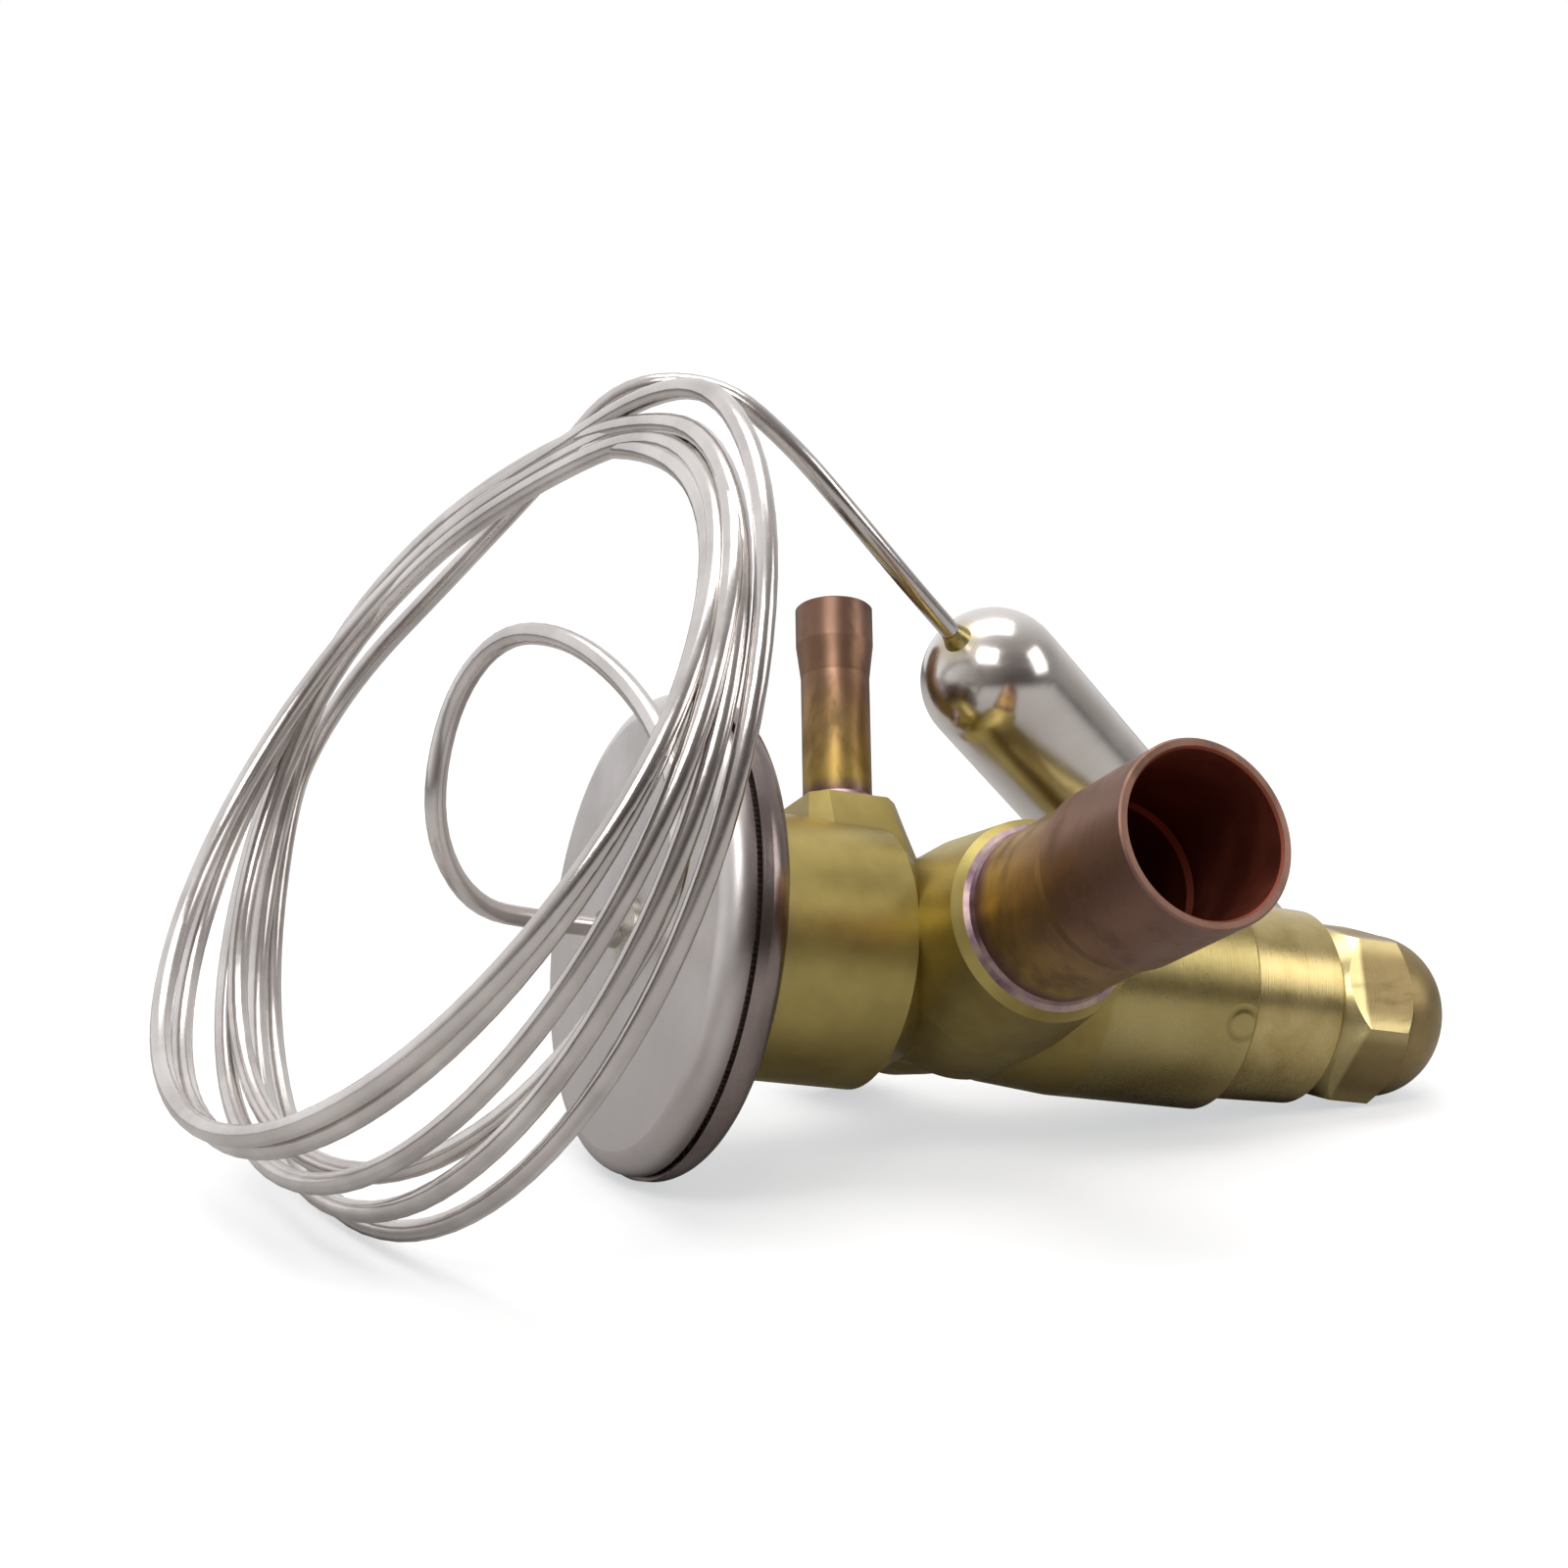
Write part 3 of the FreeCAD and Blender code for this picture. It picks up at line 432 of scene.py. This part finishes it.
# Diaphragm head: two pans of thin stainless steel with the corrugated diaphragm between them,
# pressed, then welded round the rim. The face is satin, with a faint ring left by the press. The
# rim's side is painted far darker than the face, a painted shade, and the face is painted darker
# towards its bottom, a painted shade too.
PRESS_RING_R = 0.0165
HEAD_SIDE_X = -0.0345
SHADE_TOP_Z = 0.042
head = Finish("head_steel")
head_along = head.along(VALVE_X)
head_radius = head.from_axis(VALVE_Y, VALVE_Z)
haze = head.noise(70.0, 4.0, 0.6)
satin = head.noise(2600.0, 3.0, 0.6)
press_ring = head_radius.hill(PRESS_RING_R, 0.0012)
rim_rings = head.lines(head_radius + head_along * 0.7, 2600.0)
# The rim's side: lathe rings and a smoother finish, and in the colour a painted shade.
back = head_along.rise(HEAD_SIDE_X, HEAD_SIDE_X + 0.0020)
face_colour = head.mix(haze.rise(0.35, 0.7), (0.68, 0.645, 0.63), (0.82, 0.785, 0.77))
# Painted shade: the side, the same steel as the face, is painted far darker.
painted_side_shade = head.mix(haze.rise(0.3, 0.7), (0.22, 0.175, 0.165), (0.35, 0.295, 0.28))
height = head.along(Vector((0.0, 0.0, 1.0)), Vector((0.0, 0.0, 0.0)))
# Painted shade: the face is painted darker towards its bottom.
painted_low_shade = 1 - height.rise(0.0, SHADE_TOP_Z)
face_with_painted_low_shade = head.mix(painted_low_shade * 0.75, face_colour, (0.47, 0.43, 0.425))
head.put(
    "upper_cover", "lower_cover",
    # Colour darkened in corners and closed-in places: painted shade.
    base_color=head.darken(head.mix(back, face_with_painted_low_shade, painted_side_shade), head.painted_crease_shade(0.003) * 0.5),
    metallic=1.0,
    roughness=0.40 - 0.14 * back + 0.12 * (haze - 0.5) + 0.08 * (satin - 0.5),
    normal=head.bump(satin * 0.4 + rim_rings * back + press_ring * 0.5, 0.00003, 0.6))

machined("diaphragm_steel", (0.68, 0.67, 0.64), (0.50, 0.49, 0.47), 0.18).put("diaphragm")

# Weld: a narrow rippled bead that closes the two pans round the rim. Its heat has left a straw
# and a bluish colour on it.
bead = Finish("rim_weld")
ripple = bead.node("ShaderNodeMath", {"operation": "ARCTAN2"}, [bead.along(VALVE_Y), bead.along(VALVE_Z)])
ripples = (ripple * 260.0).sine()
bead.put(
    "rim_weld",
    base_color=bead.ramp(bead.noise(200.0) + 0.1 * ripples, [
        (0.3, (0.22, 0.20, 0.24)), (0.5, (0.42, 0.34, 0.26)), (0.7, (0.50, 0.47, 0.44))]),
    metallic=1.0,
    roughness=0.38 - 0.06 * ripples,
    normal=bead.bump(ripples, 0.00005, 0.7))

# Collar: a small turned ring in the middle of the face. The capillary is soldered into it and
# leaves the head there.
machined("collar_steel", (0.66, 0.63, 0.58), (0.42, 0.39, 0.33), 0.26).put("capillary_collar")

# Sensing bulb: polished stainless tube, drawn to a dome round the capillary and closed by a
# pressed plug. Rolling along its length has left fine scratches and a warm cast.
BULB_DOME = Vector((-0.00256, 0.01336, 0.0466443))
BULB_AXIS = Vector((0.713271, 0.322054, -0.622515))
BULB_DOME_LENGTH = 0.0073485
BULB_NECK = BULB_DOME - BULB_AXIS * BULB_DOME_LENGTH
polished = Finish("bulb_steel")
cast = polished.noise(60.0, 3.0)
hairlines = polished.noise(1400.0, 4.0, 0.7, stretch=(0.15, 0.5, 1.0))
near_neck = 1 - polished.from_point(BULB_NECK).rise(0.0012, 0.0038)
bulb_colour = polished.mix(cast.rise(0.3, 0.7), (0.62, 0.58, 0.545), (0.76, 0.725, 0.69))
polished.put(
    "sensing_bulb", "bulb_plug",
    base_color=polished.mix(near_neck * 0.55, bulb_colour, (0.50, 0.41, 0.20)),
    metallic=1.0,
    roughness=0.19 + 0.07 * (cast - 0.5) + 0.10 * hairlines.rise(0.5, 0.8) + 0.12 * near_neck,
    normal=polished.bump(hairlines, 0.000012, 0.5))

# Solder that seals the capillary into the bulb's dome: a small rough crust, greenish gold from
# its flux.
flux = Finish("bulb_solder")
crust = flux.noise(900.0, 4.0)
flux.put(
    "bulb_braze",
    base_color=flux.ramp(crust, [
        (0.3, (0.20, 0.17, 0.06)), (0.55, (0.50, 0.42, 0.18)), (0.8, (0.70, 0.66, 0.46))]),
    metallic=1.0,
    roughness=0.35 + 0.25 * (crust - 0.5),
    normal=flux.bump(crust, 0.0001, 0.7))

# Capillary: 1.5 m of 2 mm stainless tube. It leaves the collar in a small loop, runs five times
# round a loose hank whose turns lie together at the top and fan out below, and goes over the
# hank's top into the bulb. It is stiff enough to hold every one of these bends.
TUBE_D = 0.002
TUBE_START = (
    (-0.04721, 0.00876, 0.02498), (-0.05301, 0.00876, 0.02606), (-0.06136, 0.00516, 0.0286),
    (-0.06596, 0.00236, 0.0371), (-0.06376, 0.00316, 0.0480), (-0.06066, -0.00344, 0.0553),
    (-0.05686, -0.01184, 0.0555), (-0.05416, -0.02074, 0.0516), (-0.05366, -0.02884, 0.0464),
    (-0.05496, -0.03484, 0.0400))
TUBE_END = (
    (-0.06496, 0.04636, 0.0402), (-0.06056, 0.04276, 0.0478), (-0.05546, 0.03576, 0.0553),
    (-0.05056, 0.02776, 0.0631), (-0.04626, 0.02206, 0.0696), (-0.04126, 0.01736, 0.0771),
    (-0.03296, 0.01216, 0.0771), (-0.02726, 0.00836, 0.0713), (-0.02156, 0.00706, 0.0646),
    (-0.01351, 0.00842, 0.0562), (-0.00780, 0.01099, 0.05122))
NEAR_TURN = (Vector((-0.05956, 0.00286, 0.0421)), 0.0446, 7.4, -20.0)
FAR_TURN = (Vector((-0.06856, -0.00524, 0.0427)), 0.0373, 7.0, -37.0)
TIE_DEG, TIE_HALF_DEG, TIE_SPREAD = 333.0, 84.0, 0.1
WHOLE_TURNS, COIL_FROM_DEG, COIL_TO_DEG, COIL_STEPS = 5, 104.0, 258.0, 76
LANES = ((0.0, 0.1), (0.25, 0.42), (1.0, 1.0), (1.45, 1.0), (2.2, 0.87), (3.2, 0.5),
         (3.9, 0.32), (4.25, 0.18), (4.98, 0.0), (6.0, 0.0))
INSETS = ((0.0, 0.003), (0.5, 0.0022), (1.0, 0.0), (6.0, 0.0))


def between(table, at):
    """Straight line through a short table of (position, value)."""
    for (x0, y0), (x1, y1) in zip(table, table[1:]):
        if at <= x1:
            return y0 + (y1 - y0) * (at - x0) / (x1 - x0)
    return table[-1][1]


def on_turn(turn, angle_deg):
    """Point of a leaning turn at an angle from its top, and the way outward there."""
    centre, r, azimuth_deg, lean_deg = turn
    azimuth, lean, angle = (math.radians(a) for a in (azimuth_deg, lean_deg, angle_deg))
    level = Vector((math.cos(azimuth), math.sin(azimuth), 0.0))
    across = level * math.cos(lean) + Vector((0.0, 0.0, math.sin(lean)))
    up = Vector((0.0, 0.0, math.cos(lean))) - level * math.sin(lean)
    outward = up * math.cos(angle) + across.cross(up) * math.sin(angle)
    return centre + outward * r, outward


def hank_point(step):
    """The tube goes over from the near turn to the far one, and its turns gather at the tie."""
    swept = (WHOLE_TURNS * 360 + COIL_TO_DEG - COIL_FROM_DEG) * step / COIL_STEPS
    angle = COIL_FROM_DEG + swept
    turns_made = swept / 360
    near, near_out = on_turn(NEAR_TURN, angle)
    far, far_out = on_turn(FAR_TURN, angle)
    from_tie = (angle - TIE_DEG + 180) % 360 - 180
    spread = 1.0
    if abs(from_tie) < TIE_HALF_DEG:
        gather = math.cos(math.radians(90 * from_tie / TIE_HALF_DEG)) ** 2
        spread = 1 - (1 - TIE_SPREAD) * gather
    share = (1 - between(LANES, turns_made)) * spread
    outward = near_out * share + far_out * (1 - share)
    layer = TUBE_D / 2 if int(turns_made + 0.35) % 2 else -TUBE_D / 2
    shift = layer * max(0.0, math.cos(math.radians(angle)))
    return near * share + far * (1 - share) + outward * (shift - between(INSETS, turns_made))


line = bpy.data.curves.new("capillary", "CURVE")
line.dimensions = "3D"
line.bevel_depth = TUBE_D / 2
line.bevel_resolution = 5
line.resolution_u = 6
line.use_fill_caps = True
hank = [hank_point(step) for step in range(COIL_STEPS + 1)]
route = [Vector(p) for p in TUBE_START] + hank + [Vector(p) for p in TUBE_END]
spline = line.splines.new("NURBS")
spline.points.add(len(route) - 1)
for control, point in zip(spline.points, route):
    control.co = (*point, 1.0)
spline.order_u = 3
spline.use_endpoint_u = True
capillary = bpy.data.objects.new("capillary", line)
bpy.context.collection.objects.link(capillary)

tube_steel = Finish("capillary_steel")
tube_cloud = tube_steel.noise(90.0, 4.0)
tube_marks = tube_steel.noise(1800.0, 3.0, 0.6)
tube_steel.put(
    base_color=tube_steel.mix(tube_cloud.rise(0.3, 0.7), (0.53, 0.495, 0.475), (0.74, 0.70, 0.675)),
    metallic=1.0,
    roughness=0.20 + 0.12 * (tube_cloud - 0.5) + 0.08 * tube_marks.rise(0.5, 0.8),
    normal=tube_steel.bump(tube_marks, 0.00001, 0.5))
line.materials.append(tube_steel.material)
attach(capillary, "valve")
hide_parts("capillary_start", "capillary_coil", "capillary_end")

# Floor: a wide sheet of white paper that runs out of sight into the white of the room. The camera
# sees it lit up, and the metal sees it as a mid grey.
paper_mesh = bpy.data.meshes.new("paper")
paper_mesh.from_pydata([(-6, -6, 0), (6, -6, 0), (6, 6, 0), (-6, 6, 0)], [], [(0, 1, 2, 3)])
paper = bpy.data.objects.new("paper", paper_mesh)
bpy.context.collection.objects.link(paper)
sheet = Finish("paper")
tooth = sheet.noise(900.0, 3.0)
far_off = sheet.from_point((0.0, 0.0, 0.0)).rise(0.12, 0.75)
to_camera = sheet.node("ShaderNodeLightPath", {}, {}, "Is Camera Ray")
fibres = sheet.mix(tooth, (0.45, 0.44, 0.43), (0.48, 0.47, 0.46))
glow = sheet.mix(far_off, (0.56, 0.57, 0.58), (0.9, 0.9, 0.9))
sheet.shader.inputs["Emission Strength"].default_value = 1.0
sheet.shader.inputs["Specular IOR Level"].default_value = 0.2
sheet.put(
    base_color=sheet.mix(far_off, fibres, (0.2, 0.2, 0.2)),
    emission_color=sheet.mix(to_camera, (0.0, 0.0, 0.0), glow),
    roughness=0.85 + 0.1 * (tooth - 0.5))
paper_mesh.materials.append(sheet.material)

# Room: what the camera sees is white paper; the metal reflects a dimmer room, brightest at the
# back and overhead, and dark behind the camera.
world = bpy.data.worlds.new("studio")
world.use_nodes = True
bpy.context.scene.world = world
sky = world.node_tree
direction = sky.nodes.new("ShaderNodeTexCoord")
facing = sky.nodes.new("ShaderNodeVectorMath")
facing.operation = "DOT_PRODUCT"
facing.inputs[1].default_value = (-0.25, 0.85, 0.46)
toward = sky.nodes.new("ShaderNodeMapRange")
toward.inputs["From Min"].default_value = -1.0
tones = sky.nodes.new("ShaderNodeValToRGB")
tones.color_ramp.elements.new(0.5)
for element, (position, tone) in zip(tones.color_ramp.elements, (
        (0.1, (0.10, 0.085, 0.08, 1)), (0.5, (0.42, 0.40, 0.39, 1)), (0.85, (0.95, 0.95, 0.96, 1)))):
    element.position = position
    element.color = tone
seen = sky.nodes.new("ShaderNodeLightPath")
room = sky.nodes.new("ShaderNodeMix")
room.data_type = "RGBA"
room.inputs[7].default_value = (1.0, 1.0, 1.0, 1.0)
sky.links.new(direction.outputs["Generated"], facing.inputs[0])
sky.links.new(facing.outputs["Value"], toward.inputs["Value"])
sky.links.new(toward.outputs["Result"], tones.inputs["Fac"])
sky.links.new(tones.outputs["Color"], room.inputs[6])
sky.links.new(seen.outputs["Is Camera Ray"], room.inputs[0])
sky.links.new(room.outputs[2], sky.nodes["Background"].inputs["Color"])

LAMPS = (
    ("key", (-0.45, -0.55, 0.75), 0.45, 0.35, 3.8),
    ("fill", (0.75, -0.45, 0.45), 0.45, 0.5, 1.7),
    ("top", (0.05, 0.15, 0.95), 0.7, 0.5, 3.6),
)
for name, place, wide, high, power in LAMPS:
    lamp = bpy.data.lights.new(name, "AREA")
    lamp.shape = "RECTANGLE"
    lamp.size = wide
    lamp.size_y = high
    lamp.energy = power
    fixture = bpy.data.objects.new(name, lamp)
    fixture.location = place
    fixture.rotation_euler = (Vector((0, 0, 0.03)) - Vector(place)).to_track_quat("-Z", "Y").to_euler()
    bpy.context.collection.objects.link(fixture)

# Camera: a 72 mm lens on a 36 mm frame, low down and a little to the head's side, so that the
# outlet's mouth and the face of the head both show.
lens = bpy.data.cameras.new("camera")
lens.lens = 72.0
lens.sensor_width = 36.0
lens.clip_start = 0.01
camera = bpy.data.objects.new("camera", lens)
camera.location = (-0.14640, -0.27310, 0.08245)
camera.rotation_euler = (math.radians(81.71), 0.0, math.radians(-22.82))
bpy.context.collection.objects.link(camera)
bpy.context.scene.camera = camera
bpy.context.scene.view_settings.view_transform = "Standard"
